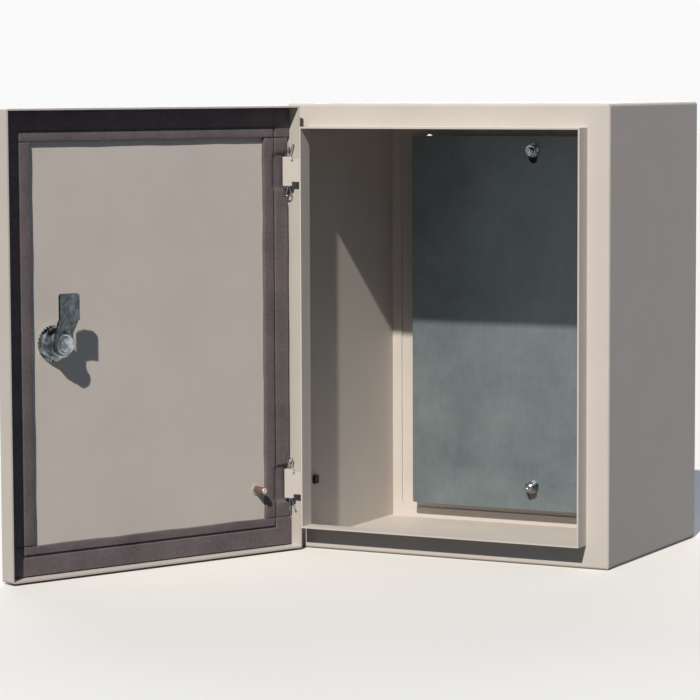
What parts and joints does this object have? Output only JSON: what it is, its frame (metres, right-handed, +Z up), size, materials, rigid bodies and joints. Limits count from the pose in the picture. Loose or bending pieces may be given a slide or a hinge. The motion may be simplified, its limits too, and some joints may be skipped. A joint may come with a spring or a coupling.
{
  "type": "wall enclosure",
  "caption": "Folded steel wall enclosure with a hinged door, foam gasket, quarter-turn cam lock and a removable mounting plate.",
  "frame": {"origin": "centre of the four wall fixing holes, on the rear face of the enclosure", "axes": "+X to the right seen from the front, +Y out of the rear face into the wall, +Z up"},
  "size_m": [0.4314, 0.5018, 0.4],
  "materials": {
    "paint": "fine-textured warm grey powder coat",
    "galvanised": "galvanised sheet, satin",
    "zinc": "bright zinc plating",
    "foam": "dark grey closed-cell foam, matt",
    "black_rubber": "black, matt",
    "black_plastic": "black, matt"
  },
  "bodies": {
    "enclosure": {"body_shell": "paint", "rear_panel": "paint", "side_plug": "black_plastic", "plate_studs": "zinc", "plate_spacers": "zinc", "mounting_plate": "galvanised", "plate_washers": "zinc", "plate_nuts": "zinc", "hinge_leaf_upper": "paint", "hinge_leaf_lower": "paint", "hinge_pin_upper": "zinc", "hinge_pin_lower": "zinc"},
    "door": {"door_panel": "paint", "hinge_knuckle_upper": "paint", "hinge_knuckle_lower": "paint", "gasket_top": "foam", "gasket_bottom": "foam", "gasket_hinge_side": "foam", "gasket_lock_side": "foam", "lock_seal": "black_rubber", "lock_housing": "zinc", "lock_tooth_washer": "zinc", "lock_nut": "zinc", "door_earth_stud": "zinc"},
    "cam": {"lock_spindle": "zinc", "lock_cam": "zinc", "cam_washer": "zinc", "cam_screw": "zinc"}
  },
  "joints": [
    {"name": "door_hinge", "type": "hinge", "parent": "enclosure", "child": "door", "pos_m": [-0.1475, -0.2233, 0], "axis": [0, 0, -1], "range_deg": [-114, 6]},
    {"name": "cam_turn", "type": "hinge", "parent": "door", "child": "cam", "pos_m": [-0.25409, -0.44622, 0], "axis": [0.9135, -0.4067, 0], "range_deg": [0, 90]}
  ]
}
